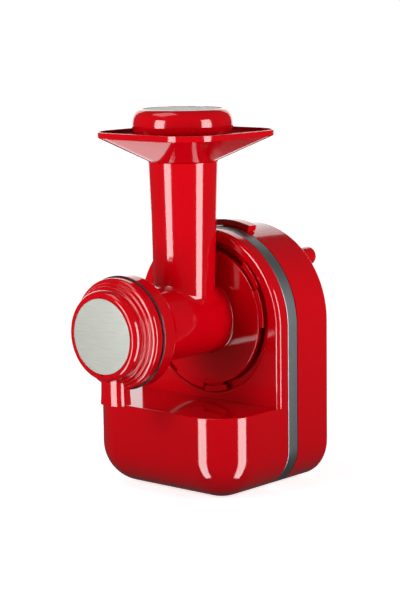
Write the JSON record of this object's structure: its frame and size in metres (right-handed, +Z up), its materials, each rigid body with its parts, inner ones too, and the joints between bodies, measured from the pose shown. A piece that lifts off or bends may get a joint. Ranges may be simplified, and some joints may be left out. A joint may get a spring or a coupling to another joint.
{
  "type": "frozen fruit dessert maker",
  "caption": "Motorised countertop frozen fruit dessert maker: feed tube with square hopper and pusher, screw-fed barrel, front cap with spout, on an arched base with a shelf.",
  "frame": {"origin": "on the table, at the middle of the whole machine's footprint", "axes": "+Z up along the feed tube, -Y out of the cap end, +X to the right seen from the front"},
  "size_m": [0.1746, 0.2366, 0.3565],
  "materials": {
    "red_plastic": "high gloss injection moulded",
    "graphite_plastic": "fine texture",
    "band_metal": "dark bright-rolled strip",
    "satin_steel": "linear brushed",
    "plain_steel": "machined",
    "white_nylon": "satin",
    "sintered_brass": "sintered",
    "rotor_windings": "varnished copper windings",
    "soft_rubber": "matt",
    "seal_rubber": "translucent silicone"
  },
  "bodies": {
    "base": {"front_casing": "red_plastic", "rear_casing": "red_plastic", "trim_band": "band_metal", "base_cover": "graphite_plastic", "rubber_foot_1": "soft_rubber", "rubber_foot_2": "soft_rubber", "rubber_foot_3": "soft_rubber", "rubber_foot_4": "soft_rubber", "bayonet_ring": "red_plastic", "cord_post_1": "red_plastic", "cord_post_2": "red_plastic", "cord_post_3": "red_plastic", "cord_post_4": "red_plastic", "casing_screw_1": "plain_steel", "casing_screw_2": "plain_steel", "casing_screw_3": "plain_steel", "casing_screw_4": "plain_steel", "switch_bezel": "graphite_plastic", "cord_inlet": "graphite_plastic", "latch_spring": "plain_steel", "motor_can": "plain_steel", "motor_end_plate": "white_nylon", "motor_stator": "plain_steel", "motor_cradle": "graphite_plastic", "gear_plate_front": "plain_steel", "gear_plate_rear": "plain_steel", "gear_post_1": "plain_steel", "gear_post_2": "plain_steel", "gear_post_3": "plain_steel", "gear_post_4": "plain_steel", "idler_pin": "plain_steel", "spindle_bush_front": "sintered_brass", "spindle_bush_rear": "sintered_brass"},
    "rocker": {"power_rocker": "graphite_plastic"},
    "release": {"release_slider": "red_plastic"},
    "spindle": {"output_gear": "white_nylon", "drive_spindle": "plain_steel", "auger": "white_nylon", "cutter_cone": "white_nylon", "cutter_blade_1": "plain_steel", "cutter_blade_2": "plain_steel", "cutter_blade_3": "plain_steel"},
    "idler": {"idler_gear": "white_nylon"},
    "motor": {"motor_shaft": "plain_steel", "motor_rotor": "rotor_windings", "motor_fan": "graphite_plastic", "motor_pinion": "sintered_brass"},
    "chute": {"chute_housing": "red_plastic", "cap_seal": "seal_rubber"},
    "cap": {"front_cap": "red_plastic", "cap_disc": "satin_steel"},
    "tray": {"hopper_tray": "red_plastic"},
    "plunger": {"pusher": "red_plastic", "pusher_inlay": "satin_steel"}
  },
  "joints": [
    {"name": "rocker_tip", "type": "hinge", "parent": "base", "child": "rocker", "pos_m": [0, 0.09435, 0.0505], "axis": [-1, 0, 0], "range_deg": [0, 14]},
    {"name": "release_slide", "type": "slide", "parent": "base", "child": "release", "axis": [0, 1, 0], "range_m": [0, 0.005], "stiffness_N_per_m": 400, "springref_m": -0.004, "deforming": ["latch_spring"]},
    {"name": "spindle_spin", "type": "hinge", "parent": "base", "child": "spindle", "pos_m": [0, 0.05885, 0.1595], "axis": [0, 1, 0], "continuous": true},
    {"name": "idler_spin", "type": "hinge", "parent": "base", "child": "idler", "pos_m": [0, 0.04485, 0.0915], "axis": [0, 1, 0], "continuous": true},
    {"name": "motor_spin", "type": "hinge", "parent": "base", "child": "motor", "pos_m": [0, -0.03015, 0.0435], "axis": [0, 1, 0], "continuous": true},
    {"name": "chute_twist", "type": "hinge", "parent": "base", "child": "chute", "pos_m": [0, 0.02335, 0.1595], "axis": [0, 1, 0], "range_deg": [0, 25]},
    {"name": "cap_twist", "type": "hinge", "parent": "chute", "child": "cap", "pos_m": [0, -0.09255, 0.1595], "axis": [0, 1, 0], "range_deg": [0, 30]},
    {"name": "tray_lift", "type": "slide", "parent": "chute", "child": "tray", "axis": [0, 0, 1], "range_m": [0, 0.03]},
    {"name": "plunger_lift", "type": "slide", "parent": "tray", "child": "plunger", "axis": [0, 0, 1], "range_m": [0, 0.14]}
  ],
  "couplings": [
    {"joint": "idler_spin", "follows": "spindle_spin", "ratio": -3.8571},
    {"joint": "motor_spin", "follows": "spindle_spin", "ratio": 11.571}
  ]
}
